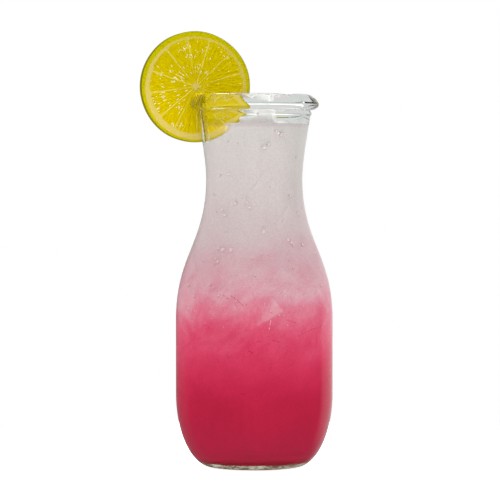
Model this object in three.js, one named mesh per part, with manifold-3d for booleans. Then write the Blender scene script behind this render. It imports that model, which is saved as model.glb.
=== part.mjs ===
// A half-litre pressed-glass juice carafe, filled to just under its lip with pink lemonade.
// Two lumps of ice break the surface, and a citrus wheel, cut once from its rim to its core,
// is pushed down over the wall of the neck.
// Millimetres, +Z up. The origin is on the carafe's axis, in the plane that its foot stands on.
// The wheel is on the -X side, and its cut face looks along -Y.

import * as THREE from 'three';
import { mergeVertices } from 'three/addons/utils/BufferGeometryUtils.js';
import { RoundedBoxGeometry } from 'three/addons/geometries/RoundedBoxGeometry.js';
import Module from 'manifold-3d';

// Carafe: outer radii and heights, from the foot up. A pull is how far a curve keeps to its
// starting direction before it bends away.
const footRadius = 22;
const bodyRadius = 40;
const heelHeight = 37;
const shoulderStart = 75;
const shoulderPull = 33;
const waistRadius = 24.5;
const waistHeight = 147;
const flarePull = 8;
const flareLean = 1.6;
const flareRadius = 28.6;
const flareHeight = 178.6;
const beadSwell = 0.9;
const beadPull = 0.5;
const grooveRadius = 28.3;
const grooveHeight = 181.4;
const underLipPull = 1.4;
const lipRadius = 32.9;
const lipHeight = 184.3;
const lipPull = 1.9;
const crownRadius = 27.6;
const crownHeight = 189.4;
const crownPull = 2.2;
const crownSlope = 0.4;

// Carafe: the wall, the thick bottom and the mouth
const wall = 2.4;
const bottomThickness = 4;
const innerFootRadius = 20;
const mouthRadius = 25.9;
const mouthHeight = 187;
const carafeSides = 56;

// Lemonade
const gap = 0.3;
const fillHeight = 174.7;

// Citrus wheel
const wheelRadius = 28.3;
const wheelThickness = 5.6;
const wheelCentre = new THREE.Vector3(-30.2, 0, 193.4);
const wheelTurn = THREE.MathUtils.degToRad(12);
const wheelSides = 72;
const edgeRound = 0.9;
const fleshRadius = 23.2;
const fleshTip = 2.8;
const tipRound = 1.2;
const cheekRound = 2.2;
const archShare = 0.55;
const archRise = 0.4;
const membraneWidth = 0.9;
const fleshDepth = 0.45;
const membraneAngles = [17, 44, 73, 100, 129, 161, 188, 220, 244, 275, 306, 341];

// The wheel's cut, in degrees anticlockwise from +X, and how far its two lips are pushed open
const slitAngle = 281;
const slitWidth = 0.5;
const slitStart = 4;
const openInside = 9.5;
const openOutside = 3.5;
const openSpan = 90;

// Ice: size across, depth and height, centre, and turn about X, Y and Z in degrees
const iceRound = 2.6;
const iceRoundSteps = 2;
const iceLumps = [
  { size: [17, 15, 20], centre: [3, -11.4, 171.6], turn: [8, -11, -10] },
  { size: [15, 15, 18], centre: [12.2, 6.4, 167.4], turn: [-6, 8, 30] },
];

const wasm = await Module();
wasm.setup();

function toSolid(geometry) {
  const bare = geometry.clone();
  bare.deleteAttribute('normal');
  bare.deleteAttribute('uv');
  const merged = mergeVertices(bare, 1e-4);
  return new wasm.Manifold(new wasm.Mesh({
    numProp: 3,
    vertProperties: Float32Array.from(merged.attributes.position.array),
    triVerts: Uint32Array.from(merged.index.array),
  }));
}

function toGeometry(solid) {
  const mesh = solid.getMesh();
  const geometry = new THREE.BufferGeometry();
  geometry.setAttribute('position', new THREE.BufferAttribute(mesh.vertProperties, 3));
  geometry.setIndex(new THREE.BufferAttribute(mesh.triVerts, 1));
  geometry.computeVertexNormals();
  return geometry;
}

// Turns a profile of (radius, height) points about +Z.
function revolve(profile, sides) {
  return new THREE.LatheGeometry(profile, sides).rotateX(Math.PI / 2);
}

function point(radius, height) {
  return new THREE.Vector2(radius, height);
}

function bezier(start, first, second, end, steps) {
  return new THREE.CubicBezierCurve(start, first, second, end).getPoints(steps);
}

// The rounded heel between the flat of the foot and the straight body.
function heel(flatRadius, straightRadius, low, high, steps) {
  const curve = new THREE.EllipseCurve(
    flatRadius, high, straightRadius - flatRadius, high - low, -Math.PI / 2, 0);
  return curve.getPoints(steps);
}

// The S-shaped shoulder, upright at the body and at the waist.
function shoulder(inset, steps) {
  return bezier(
    point(bodyRadius - inset, shoulderStart),
    point(bodyRadius - inset, shoulderStart + shoulderPull),
    point(waistRadius - inset, waistHeight - shoulderPull),
    point(waistRadius - inset, waistHeight),
    steps);
}

// The neck widens from the waist towards the lip.
function flare(inset, topRadius, topHeight, steps) {
  return bezier(
    point(waistRadius - inset, waistHeight),
    point(waistRadius - inset, waistHeight + flarePull),
    point(topRadius - flareLean, topHeight - flarePull * 1.2),
    point(topRadius, topHeight),
    steps);
}

// The outside from the middle of the foot to the crown of the lip.
function outerProfile() {
  const bead = bezier(
    point(flareRadius, flareHeight),
    point(flareRadius + beadSwell, flareHeight + beadPull),
    point(grooveRadius + beadSwell, grooveHeight - 2 * beadPull),
    point(grooveRadius, grooveHeight),
    4);
  const lipUnderside = bezier(
    point(grooveRadius, grooveHeight),
    point(grooveRadius + underLipPull, grooveHeight),
    point(lipRadius, lipHeight - lipPull),
    point(lipRadius, lipHeight),
    5);
  const lipTop = bezier(
    point(lipRadius, lipHeight),
    point(lipRadius, lipHeight + lipPull),
    point(crownRadius + crownPull, crownHeight - crownSlope),
    point(crownRadius, crownHeight),
    6);
  return [
    point(0, 0),
    ...heel(footRadius, bodyRadius, 0, heelHeight, 8),
    ...shoulder(0, 10),
    ...flare(0, flareRadius, flareHeight, 4),
    ...bead.slice(1),
    ...lipUnderside.slice(1),
    ...lipTop.slice(1),
  ];
}

// The inside from the middle of the bottom up to a height in the neck, `inset` inside the wall.
function innerProfile(inset, topHeight) {
  const depth = wall + inset;
  return [
    point(0, bottomThickness + inset),
    ...heel(innerFootRadius, bodyRadius - depth, bottomThickness + inset, heelHeight, 7),
    ...shoulder(depth, 9),
    ...flare(depth, mouthRadius - inset, mouthHeight, 4).slice(1),
  ].filter((p) => p.y < topHeight);
}

// Where the inside of the neck, `inset` inside the wall, is at a height.
function neckRadius(inset, height) {
  const curve = flare(wall + inset, mouthRadius - inset, mouthHeight, 64);
  const above = curve.findIndex((p) => p.y >= height);
  const low = curve[above - 1];
  const high = curve[above];
  const share = (height - low.y) / (high.y - low.y);
  return low.x + share * (high.x - low.x);
}

function carafeProfile() {
  const crown = bezier(
    point(crownRadius, crownHeight),
    point(crownRadius - crownPull / 2, crownHeight),
    point(mouthRadius, mouthHeight + crownPull / 2),
    point(mouthRadius, mouthHeight),
    3);
  const inside = innerProfile(0, mouthHeight).reverse();
  return [...outerProfile(), ...crown.slice(1), ...inside];
}

// Moves every point of a closed profile outwards along its own normal.
function grow(profile, distance) {
  return profile.map((p, i) => {
    const before = profile[Math.max(i - 1, 0)];
    const after = profile[Math.min(i + 1, profile.length - 1)];
    const along = after.clone().sub(before).normalize();
    const moved = point(p.x + along.y * distance, p.y - along.x * distance);
    return p.x === 0 ? point(0, moved.y) : moved;
  });
}

function wheelDisc(radius, thickness, round) {
  const half = thickness / 2;
  const edge = (y, from, to) => new THREE.EllipseCurve(
    radius - round, y, round, round, from, to).getPoints(3);
  return new THREE.LatheGeometry([
    point(0, -half),
    ...edge(round - half, -Math.PI / 2, 0),
    ...edge(half - round, 0, Math.PI / 2),
    point(0, half),
  ], wheelSides);
}

// One segment of flesh, between two membranes, as a pocket cut into both faces of the wheel.
function fleshPockets(startAngle, endAngle) {
  const middle = (startAngle + endAngle) / 2;
  const halfSpan = (endAngle - startAngle) / 2;
  const at = (radius, angle) => point(Math.cos(angle) * radius, Math.sin(angle) * radius);
  // A point on the segment's own side of a membrane: side is -1 at its start, 1 at its end
  const beside = (radius, side) => {
    const reach = halfSpan - Math.asin(membraneWidth / 2 / radius);
    return at(radius, middle + side * reach);
  };
  const arch = halfSpan * archShare;
  const tipStart = beside(fleshTip + tipRound, -1);
  const outline = new THREE.Shape();
  const lineTo = (end) => outline.lineTo(end.x, end.y);
  const curveTo = (control, end) => {
    outline.quadraticCurveTo(control.x, control.y, end.x, end.y);
  };
  outline.moveTo(tipStart.x, tipStart.y);
  lineTo(beside(fleshRadius - cheekRound, -1));
  curveTo(beside(fleshRadius, -1), at(fleshRadius, middle - arch));
  curveTo(at(fleshRadius + archRise, middle), at(fleshRadius, middle + arch));
  curveTo(beside(fleshRadius, 1), beside(fleshRadius - cheekRound, 1));
  lineTo(beside(fleshTip + tipRound, 1));
  curveTo(at(fleshTip, middle), tipStart);
  const settings = { depth: fleshDepth * 2, bevelEnabled: false, curveSegments: 3 };
  const geometry = new THREE.ExtrudeGeometry(outline, settings).rotateX(Math.PI / 2);
  return [-1, 1].map((side) => {
    const faceY = side * wheelThickness / 2 + fleshDepth;
    return toSolid(geometry.clone().translate(0, faceY, 0));
  });
}

// A thin straight cut through the wheel, from just under its core out through the rind.
function slitSolid() {
  const angle = THREE.MathUtils.degToRad(slitAngle);
  const reach = wheelRadius * 1.2 - slitStart;
  const fromCentre = slitStart + reach / 2;
  const blade = new THREE.BoxGeometry(reach, wheelThickness * 2, slitWidth)
    .translate(fromCentre, 0, 0)
    .rotateY(-angle);
  return toSolid(blade);
}

// Turns the flesh on each side of the cut away from it, less and less with the angle.
function openSlit(solid) {
  const geometry = toGeometry(solid);
  const position = geometry.attributes.position;
  for (let i = 0; i < position.count; i += 1) {
    const radius = Math.hypot(position.getX(i), position.getZ(i));
    const degrees = THREE.MathUtils.radToDeg(Math.atan2(position.getZ(i), position.getX(i)));
    const fromSlit = THREE.MathUtils.euclideanModulo(degrees - slitAngle + 180, 360) - 180;
    const nearness = Math.max(0, 1 - Math.abs(fromSlit) / openSpan);
    const opening = fromSlit > 0 ? openInside : -openOutside;
    const angle = THREE.MathUtils.degToRad(degrees + opening * nearness ** 2);
    position.setX(i, Math.cos(angle) * radius);
    position.setZ(i, Math.sin(angle) * radius);
  }
  return toSolid(geometry);
}

function placeWheel(solid) {
  const turned = new THREE.Matrix4().makeRotationZ(wheelTurn).setPosition(wheelCentre);
  return toSolid(toGeometry(solid).applyMatrix4(turned));
}

function makeWheel() {
  let wheel = toSolid(wheelDisc(wheelRadius, wheelThickness, edgeRound));
  membraneAngles.forEach((angle, i) => {
    const next = membraneAngles[(i + 1) % membraneAngles.length];
    const end = next > angle ? next : next + 360;
    const pockets = fleshPockets(
      THREE.MathUtils.degToRad(angle), THREE.MathUtils.degToRad(end));
    pockets.forEach((pocket) => {
      wheel = wheel.subtract(pocket);
    });
  });
  const slot = toSolid(revolve(grow(carafeProfile(), gap), carafeSides));
  return placeWheel(openSlit(wheel.subtract(slitSolid()))).subtract(slot);
}

function iceGeometry(lump, margin) {
  const [width, depth, height] = lump.size.map((length) => length + 2 * margin);
  const angles = lump.turn.map(THREE.MathUtils.degToRad);
  const place = new THREE.Matrix4().makeRotationFromEuler(new THREE.Euler(...angles));
  place.setPosition(new THREE.Vector3(...lump.centre));
  return new RoundedBoxGeometry(width, depth, height, iceRoundSteps, iceRound + margin)
    .applyMatrix4(place);
}

function makeLemonade() {
  const profile = [
    ...innerProfile(gap, fillHeight),
    point(neckRadius(gap, fillHeight), fillHeight),
    point(0, fillHeight),
  ];
  let drink = toSolid(revolve(profile, carafeSides));
  const aroundWheel = wheelDisc(wheelRadius + gap, wheelThickness + 2 * gap, edgeRound);
  drink = drink.subtract(placeWheel(toSolid(aroundWheel)));
  iceLumps.forEach((lump) => {
    drink = drink.subtract(toSolid(iceGeometry(lump, gap)));
  });
  return drink;
}

const glass = new THREE.MeshStandardMaterial({
  color: 0xdde6df, roughness: 0.04, metalness: 0, transparent: true, opacity: 0.35,
});
const pinkDrink = new THREE.MeshStandardMaterial({ color: 0xd84a72, roughness: 0.25, metalness: 0 });
const citrus = new THREE.MeshStandardMaterial({ color: 0xd6be14, roughness: 0.4, metalness: 0 });
const clearIce = new THREE.MeshStandardMaterial({
  color: 0xeef1f2, roughness: 0.1, metalness: 0, transparent: true, opacity: 0.5,
});

function namedMesh(name, geometry, material) {
  const mesh = new THREE.Mesh(geometry, material);
  mesh.name = name;
  return mesh;
}

const carafe = new THREE.Group();
carafe.add(namedMesh('carafe', revolve(carafeProfile(), carafeSides), glass));
carafe.add(namedMesh('lemonade', toGeometry(makeLemonade()), pinkDrink));
carafe.add(namedMesh('lemon_slice', toGeometry(makeWheel()), citrus));
iceLumps.forEach((lump, i) => {
  carafe.add(namedMesh(`ice_${i + 1}`, iceGeometry(lump, 0), clearIce));
});

export default carafe;
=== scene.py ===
"""A glass carafe of pink lemonade with ice in it and a citrus wheel over its lip.

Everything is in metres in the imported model's own frame: the carafe stands on z = 0 with its
axis on z, the wheel is on the -x side and its cut face looks along -y.
"""

import math
import random

import bmesh
import bpy
from bpy.props import FloatProperty, FloatVectorProperty, IntProperty, PointerProperty
from mathutils import Euler, Matrix, Vector, noise


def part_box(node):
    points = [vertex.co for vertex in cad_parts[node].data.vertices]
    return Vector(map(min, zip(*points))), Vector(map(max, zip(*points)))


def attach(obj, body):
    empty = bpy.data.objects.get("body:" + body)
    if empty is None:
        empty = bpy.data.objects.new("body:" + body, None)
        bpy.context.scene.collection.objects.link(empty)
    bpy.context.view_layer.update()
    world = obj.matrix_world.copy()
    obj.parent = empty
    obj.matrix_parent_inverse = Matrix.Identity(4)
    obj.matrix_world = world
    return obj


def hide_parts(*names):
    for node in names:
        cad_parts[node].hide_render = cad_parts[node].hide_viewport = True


bl_info = {
    "name": "Carafe of pink lemonade",
    "version": (1, 0, 0),
    "blender": (4, 5, 0),
    "location": "3D View > Sidebar > Lemonade",
    "description": "Builds a glass carafe of layered pink lemonade with ice and a citrus wheel",
    "category": "Add Mesh",
}

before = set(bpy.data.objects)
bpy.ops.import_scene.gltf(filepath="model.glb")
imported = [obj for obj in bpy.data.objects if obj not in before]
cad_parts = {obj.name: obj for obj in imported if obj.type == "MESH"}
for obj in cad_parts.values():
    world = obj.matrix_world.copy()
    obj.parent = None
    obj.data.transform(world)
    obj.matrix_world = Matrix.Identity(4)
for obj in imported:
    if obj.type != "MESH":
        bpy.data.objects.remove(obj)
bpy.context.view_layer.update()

MM = 0.001
CREASE = math.radians(50)
BODY = "root"

GLASS_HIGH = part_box("carafe")[1]
DRINK_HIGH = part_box("lemonade")[1]
WHEEL_LOW, WHEEL_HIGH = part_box("lemon_slice")


def length(name, description, default):
    return FloatProperty(name=name, description=description, default=default, unit="LENGTH",
                         precision=5)


def colour(name, description, default):
    return FloatVectorProperty(name=name, description=description, default=default,
                               subtype="COLOR", size=3, min=0.0, max=1.0)


class CarafeSizes(bpy.types.PropertyGroup):
    """Outer sizes of the glass from the foot up, and its wall."""

    foot_radius: length("Foot radius", "Flat of the foot", 22 * MM)
    body_radius: length("Body radius", "Straight part of the body", GLASS_HIGH.x)
    heel_height: length("Heel height", "Where the body's side becomes upright", 37 * MM)
    shoulder_start: length("Shoulder start", "Where the body begins to narrow", 75 * MM)
    shoulder_pull: length("Shoulder pull", "How long the shoulder stays upright", 33 * MM)
    waist_radius: length("Waist radius", "Narrowest part of the neck", 24.5 * MM)
    waist_height: length("Waist height", "Height of the narrowest part", 147 * MM)
    flare_radius: length("Flare radius", "Neck under the lip", 28.6 * MM)
    flare_height: length("Flare height", "Where the neck's flare ends", 178.6 * MM)
    flare_pull: length("Flare pull", "How long the waist stays upright", 8 * MM)
    flare_lean: length("Flare lean", "Lean of the neck where it ends", 1.6 * MM)
    bead_swell: length("Bead swell", "Small bead under the lip", 0.9 * MM)
    bead_pull: length("Bead pull", "Rounding of the bead", 0.5 * MM)
    groove_radius: length("Groove radius", "Groove between bead and lip", 28.3 * MM)
    groove_height: length("Groove height", "Height of the groove", 181.4 * MM)
    under_lip_pull: length("Under-lip pull", "Flat under the lip", 1.4 * MM)
    lip_radius: length("Lip radius", "Widest part of the rolled lip", 32.9 * MM)
    lip_height: length("Lip height", "Height of the lip's widest part", 184.3 * MM)
    lip_pull: length("Lip pull", "Rounding of the lip's edge", 1.9 * MM)
    crown_radius: length("Crown radius", "Top of the lip", 27.6 * MM)
    crown_height: length("Crown height", "Height of the lip's top", GLASS_HIGH.z)
    crown_pull: length("Crown pull", "Rounding of the lip's top", 2.2 * MM)
    crown_slope: length("Crown slope", "Fall of the lip's outer slope at its top", 0.4 * MM)
    mouth_radius: length("Mouth radius", "Inside of the mouth", 25.9 * MM)
    mouth_height: length("Mouth height", "Where the inside of the mouth ends", 187 * MM)
    wall: length("Wall", "Thickness of the wall", 2.4 * MM)
    bottom: length("Bottom", "Thickness of the bottom", 4 * MM)
    inner_foot_radius: length("Inner foot radius", "Flat of the bottom inside", 20 * MM)
    sides: IntProperty(name="Sides", description="Steps round the turned pieces", default=224,
                       min=32)


class DrinkLook(bpy.types.PropertyGroup):
    """The lemonade's level and its colours from the bottom up."""

    level: length("Level", "Height of the drink's surface", DRINK_HIGH.z - 1.1 * MM)
    reach: length("Reach", "How far the drink reaches into the wall", 0.12 * MM)
    meniscus: length("Meniscus", "How far the drink climbs the glass", 1.1 * MM)
    deep: colour("Deep wine", "Drink at the foot", (0.29, 0.015, 0.04))
    raspberry: colour("Raspberry", "Lower third of the body", (0.46, 0.012, 0.047))
    rose: colour("Rose", "Middle of the body", (0.63, 0.04, 0.11))
    hot_pink: colour("Hot pink", "Top of the coloured layer", (0.72, 0.12, 0.21))
    blush: colour("Blush", "Cloudy boundary of the layers", (0.72, 0.32, 0.40))
    milk: colour("Milk", "Shoulder above the boundary", (0.80, 0.67, 0.68))
    cloud: colour("Cloud", "Neck", (0.75, 0.69, 0.68))
    # Painted shade along the edge of the surface
    meniscus_shade: colour("Rim", "Edge of the surface", (0.46, 0.36, 0.40))


class WheelLook(bpy.types.PropertyGroup):
    """The citrus wheel's sizes and colours."""

    radius: length("Radius", "Outside of the rind", (WHEEL_HIGH.z - WHEEL_LOW.z) / 2)
    thickness: length("Thickness", "Thickness of the cut wheel", 5.6 * MM)
    centre_x: length("Centre x", "Wheel's centre from the axis", (WHEEL_LOW.x + WHEEL_HIGH.x) / 2)
    centre_z: length("Centre z", "Wheel's centre height", (WHEEL_LOW.z + WHEEL_HIGH.z) / 2)
    turn: FloatProperty(name="Turn", description="Turn of the wheel about the upright",
                        default=math.radians(12), subtype="ANGLE")
    flesh_radius: length("Flesh radius", "Outside of the flesh", 24.2 * MM)
    pith_radius: length("Pith radius", "Outside of the white pith", 26.1 * MM)
    core_radius: length("Core radius", "White core", 1.7 * MM)
    flesh: colour("Flesh", "Juice sacs", (0.41, 0.32, 0.0))
    # Deep flesh is partly the flesh's own darker streaks and partly painted shade between the sacs
    flesh_dark: colour("Deep flesh", "Between the sacs", (0.33, 0.235, 0.0))
    flesh_light: colour("Light flesh", "Streaks along the sacs", (0.49, 0.41, 0.006))
    membrane: colour("Membrane", "Skin between the segments", (0.52, 0.44, 0.08))
    pith: colour("Pith", "Pith and core", (0.44, 0.36, 0.085))
    rind: colour("Rind", "Zest next to the pith", (0.39, 0.34, 0.0))
    zest: colour("Zest", "Zest next to the skin", (0.29, 0.275, 0.001))
    # The outer skin's dark olive is partly its own colour and partly painted shade on the wheel's
    # side
    peel_and_shade: colour("Peel", "Outer skin", (0.13, 0.115, 0.003))
    # Painted highlight: the colour of the glints on the sacs
    glint: colour("Glint", "Wet tips of the sacs", (0.80, 0.77, 0.55))


class StageLook(bpy.types.PropertyGroup):
    """Camera, lights and floor."""

    distance: length("Camera distance", "From the carafe's axis", 1374 * MM)
    camera_height: length("Camera height", "Height of the lens", 145 * MM)
    aim_x: length("Aim x", "Sideways aim", -2.2 * MM)
    aim_z: length("Aim z", "Height of the picture's middle", 110.3 * MM)
    lens: FloatProperty(name="Lens", description="Focal length", default=194.0, unit="CAMERA")
    backdrop: colour("Backdrop", "What the camera sees behind", (1.0, 1.0, 1.0))
    room: FloatVectorProperty(name="Room", description="Soft light from all round",
                              default=(1.25, 1.25, 1.25), subtype="COLOR", size=3, min=0.0)
    ceiling: FloatVectorProperty(name="Ceiling", description="Soft light from above",
                                 default=(2.8, 2.8, 2.8), subtype="COLOR", size=3, min=0.0)


# Node helpers

def add(tree, kind, inputs=None, **settings):
    """Adds a node; inputs may be values or sockets, by name or number."""
    made = tree.nodes.new(kind)
    for name, value in settings.items():
        setattr(made, name, value)
    for key, value in (inputs or {}).items():
        if isinstance(key, str):
            socket = next(s for s in made.inputs if s.name == key and s.enabled)
        else:
            socket = made.inputs[key]
        if isinstance(value, bpy.types.NodeSocket):
            tree.links.new(value, socket)
        else:
            socket.default_value = value
    return made


def out(node, name=0):
    if isinstance(name, str):
        return next(s for s in node.outputs if s.name == name and s.enabled)
    return node.outputs[name]


def maths(tree, operation, first, second=0.0, third=0.0, clamp=False):
    made = add(tree, "ShaderNodeMath", {0: first, 1: second, 2: third}, operation=operation)
    made.use_clamp = clamp
    return made.outputs[0]


def mix(tree, factor, first, second, blend="MIX"):
    """Mixes two colours."""
    made = add(tree, "ShaderNodeMix", data_type="RGBA", blend_type=blend)
    for socket, value in ((made.inputs[0], factor), (made.inputs[6], first),
                          (made.inputs[7], second)):
        if isinstance(value, bpy.types.NodeSocket):
            tree.links.new(value, socket)
        elif isinstance(value, (int, float)):
            socket.default_value = value
        else:
            socket.default_value = (*value, 1.0)
    return made.outputs[2]


def ramp(tree, factor, stops, interpolation="EASE"):
    """A colour ramp from (place, colour) pairs; a plain number is a grey."""
    made = add(tree, "ShaderNodeValToRGB", {0: factor})
    band = made.color_ramp
    band.interpolation = interpolation
    while len(band.elements) < len(stops):
        band.elements.new(0.5)
    for element, (place, value) in zip(band.elements, stops):
        element.position = place
        shade = (value, value, value) if isinstance(value, (int, float)) else tuple(value)
        element.color = (*shade, 1.0)
    return made.outputs[0]


def smooth_step(tree, value, low, high):
    """0 below low and 1 above high."""
    made = add(tree, "ShaderNodeMapRange", {0: value, 1: low, 2: high, 3: 0.0, 4: 1.0},
               interpolation_type="SMOOTHSTEP")
    return made.outputs[0]


def fade_out(tree, value, low, high):
    """1 below low and 0 above high."""
    return maths(tree, "SUBTRACT", 1.0, smooth_step(tree, value, low, high))


def product(tree, first, *others):
    for other in others:
        first = maths(tree, "MULTIPLY", first, other)
    return first


def tinted(tree, shade, tint):
    """A colour multiplied by another."""
    return mix(tree, 1.0, shade, tint, "MULTIPLY")


def diagonal(tree, first, second):
    """The length of a vector, from its parts along two axes."""
    return maths(tree, "SQRT", maths(tree, "ADD", product(tree, first, first),
                                     product(tree, second, second)))


def split(tree, vector):
    """The three parts of a vector."""
    return add(tree, "ShaderNodeSeparateXYZ", {0: vector}).outputs


def noise_value(tree, vector, scale, detail=3.0, roughness=0.5, distortion=0.0):
    made = add(tree, "ShaderNodeTexNoise", {
        "Vector": vector, "Scale": scale, "Detail": detail, "Roughness": roughness,
        "Distortion": distortion})
    return made.outputs[0]


def object_point(tree, scale=(1.0, 1.0, 1.0), offset=(0.0, 0.0, 0.0)):
    coordinates = add(tree, "ShaderNodeTexCoord")
    placed = add(tree, "ShaderNodeMapping", {
        "Vector": coordinates.outputs["Object"], "Scale": scale, "Location": offset})
    return placed.outputs[0]


def slanted_point(tree, stretch, turn, offset=(0.0, 0.0, 0.0)):
    """Object coordinates turned first and then stretched, so that a pattern runs aslant."""
    coordinates = add(tree, "ShaderNodeTexCoord")
    placed = add(tree, "ShaderNodeMapping", {
        "Vector": coordinates.outputs["Object"], "Scale": stretch, "Location": offset,
        "Rotation": turn}, vector_type="TEXTURE")
    return placed.outputs[0]


def facing_up(tree):
    """1 on a level top, 0 on an upright side and -1 underneath."""
    return split(tree, out(add(tree, "ShaderNodeNewGeometry"), "Normal"))[2]


def new_material(name):
    """An empty material and its tree."""
    material = bpy.data.materials.new(name)
    material.use_nodes = True
    material.node_tree.nodes.clear()
    return material, material.node_tree


def finish_material(tree, surface):
    output = add(tree, "ShaderNodeOutputMaterial")
    tree.links.new(surface, output.inputs["Surface"])


def coat(tree, shade, roughness, specular=0.5, more=None):
    """A Principled surface; more holds further inputs by name."""
    inputs = {"Base Color": shade, "Roughness": roughness, "Specular IOR Level": specular}
    return add(tree, "ShaderNodeBsdfPrincipled", {**inputs, **(more or {})}).outputs[0]


def bump(tree, height, strength, distance):
    made = add(tree, "ShaderNodeBump", {"Height": height, "Strength": strength,
                                        "Distance": distance})
    return made.outputs[0]


def lets_lamps_through(tree, surface):
    """Glass that casts only a light shadow."""
    path = add(tree, "ShaderNodeLightPath")
    clear = add(tree, "ShaderNodeBsdfTransparent", {"Color": (0.93, 0.95, 0.94, 1.0)})
    return add(tree, "ShaderNodeMixShader", {
        0: path.outputs["Is Shadow Ray"], 1: surface, 2: clear.outputs[0]}).outputs[0]


def clear_by(tree, share, surface, tint):
    """A surface that is clear by a share, and wholly clear to shadow and diffuse rays."""
    path = add(tree, "ShaderNodeLightPath")
    lighting = maths(tree, "MAXIMUM", path.outputs["Is Shadow Ray"],
                     path.outputs["Is Diffuse Ray"])
    clear = add(tree, "ShaderNodeBsdfTransparent", {"Color": (*tint, 1.0)})
    return add(tree, "ShaderNodeMixShader", {
        0: maths(tree, "MAXIMUM", share, lighting), 1: surface, 2: clear.outputs[0]}).outputs[0]


# Mesh helpers

def new_object(name, mesh):
    made = bpy.data.objects.new(name, mesh)
    bpy.context.scene.collection.objects.link(made)
    return made


def mesh_from(name, vertices, faces, edges=()):
    mesh = bpy.data.meshes.new(name)
    mesh.from_pydata(vertices, list(edges), faces)
    mesh.update()
    return mesh


def mesh_of(body, name):
    """A mesh of what a bmesh holds; the bmesh is freed."""
    mesh = bpy.data.meshes.new(name)
    body.to_mesh(mesh)
    body.free()
    return mesh


def face_outwards(mesh):
    """Turns a closed mesh right side out."""
    body = bmesh.new()
    body.from_mesh(mesh)
    bmesh.ops.recalc_face_normals(body, faces=body.faces)
    if body.calc_volume(signed=True) < 0:
        bmesh.ops.reverse_faces(body, faces=body.faces)
    body.to_mesh(mesh)
    body.free()


def applied(source, name):
    """A plain mesh object of what source's modifiers make; source is removed."""
    graph = bpy.context.evaluated_depsgraph_get()
    mesh = bpy.data.meshes.new_from_object(source.evaluated_get(graph))
    mesh.name = name
    bpy.data.objects.remove(source)
    return new_object(name, mesh)


def shade_smooth(piece, crease=None):
    """Smooth shading, with edges sharper than crease kept."""
    piece.data.polygons.foreach_set("use_smooth", [True] * len(piece.data.polygons))
    if crease is not None:
        piece.data.set_sharp_from_angle(angle=crease)


def cut(piece, cutter, name, operation="DIFFERENCE"):
    """Takes the cutter's shape out of a piece, or keeps only that. The cutter is removed."""
    modifier = piece.modifiers.new("cut", "BOOLEAN")
    modifier.operation = operation
    modifier.solver = "MANIFOLD"
    modifier.object = cutter
    made = applied(piece, name)
    bpy.data.objects.remove(cutter)
    return made


def dress(piece, material, *replaced, slot=None):
    """Gives a piece its material and ties it to the frame."""
    if material is not None:
        piece.data.materials.clear()
        piece.data.materials.append(material)
    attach(piece, BODY)
    if replaced:
        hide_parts(*replaced)


# Outlines, as (radius, height) pairs

def bezier(start, first, second, end, steps):
    points = []
    for i in range(steps + 1):
        t = i / steps
        u = 1 - t
        weights = (u ** 3, 3 * u * u * t, 3 * u * t * t, t ** 3)
        corners = (start, first, second, end)
        points.append(tuple(sum(w * c[axis] for w, c in zip(weights, corners))
                            for axis in (0, 1)))
    return points


def heel(flat_radius, straight_radius, low, high, steps):
    """The quarter oval between the foot's flat and the upright body."""
    points = []
    for i in range(steps + 1):
        turn = math.pi / 2 * i / steps
        points.append((flat_radius + (straight_radius - flat_radius) * math.sin(turn),
                       high - (high - low) * math.cos(turn)))
    return points


def shoulder(sizes, inset, steps):
    return bezier(
        (sizes.body_radius - inset, sizes.shoulder_start),
        (sizes.body_radius - inset, sizes.shoulder_start + sizes.shoulder_pull),
        (sizes.waist_radius - inset, sizes.waist_height - sizes.shoulder_pull),
        (sizes.waist_radius - inset, sizes.waist_height), steps)


def flare(sizes, inset, top_radius, top_height, steps):
    return bezier(
        (sizes.waist_radius - inset, sizes.waist_height),
        (sizes.waist_radius - inset, sizes.waist_height + sizes.flare_pull),
        (top_radius - sizes.flare_lean, top_height - sizes.flare_pull * 1.2),
        (top_radius, top_height), steps)


def outer_outline(sizes):
    """From the middle of the foot to the crown of the lip."""
    groove = (sizes.groove_radius, sizes.groove_height)
    lip = (sizes.lip_radius, sizes.lip_height)
    bead = bezier(
        (sizes.flare_radius, sizes.flare_height),
        (sizes.flare_radius + sizes.bead_swell, sizes.flare_height + sizes.bead_pull),
        (sizes.groove_radius + sizes.bead_swell, sizes.groove_height - 2 * sizes.bead_pull),
        groove, 8)
    under = bezier(groove, (groove[0] + sizes.under_lip_pull, groove[1]),
                   (lip[0], lip[1] - sizes.lip_pull), lip, 10)
    over = bezier(lip, (lip[0], lip[1] + sizes.lip_pull),
                  (sizes.crown_radius + sizes.crown_pull, sizes.crown_height - sizes.crown_slope),
                  (sizes.crown_radius, sizes.crown_height), 12)
    return ([(0.0, 0.0)]
            + heel(sizes.foot_radius, sizes.body_radius, 0.0, sizes.heel_height, 20)
            + shoulder(sizes, 0.0, 24)
            + flare(sizes, 0.0, sizes.flare_radius, sizes.flare_height, 10)[1:]
            + bead[1:] + under[1:] + over[1:])


def inner_outline(sizes, inset, top_height):
    """From the middle of the bottom up the inside, `inset` inside the wall's face."""
    depth = sizes.wall + inset
    low = sizes.bottom + inset
    points = ([(0.0, low)]
              + heel(sizes.inner_foot_radius, sizes.body_radius - depth, low,
                     sizes.heel_height, 18)
              + shoulder(sizes, depth, 22)
              + flare(sizes, depth, sizes.mouth_radius - inset, sizes.mouth_height, 24)[1:])
    return [p for p in points if p[1] < top_height - 1e-6]


def inner_radius(sizes, inset, height):
    """Radius of the inside, `inset` inside the wall's face, at a height."""
    points = inner_outline(sizes, inset, sizes.mouth_height + 1.0)
    for low, high in zip(points[1:], points[2:]):
        if low[1] <= height <= high[1] and high[1] > low[1]:
            share = (height - low[1]) / (high[1] - low[1])
            return low[0] + share * (high[0] - low[0])
    return points[-1][0]


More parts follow.
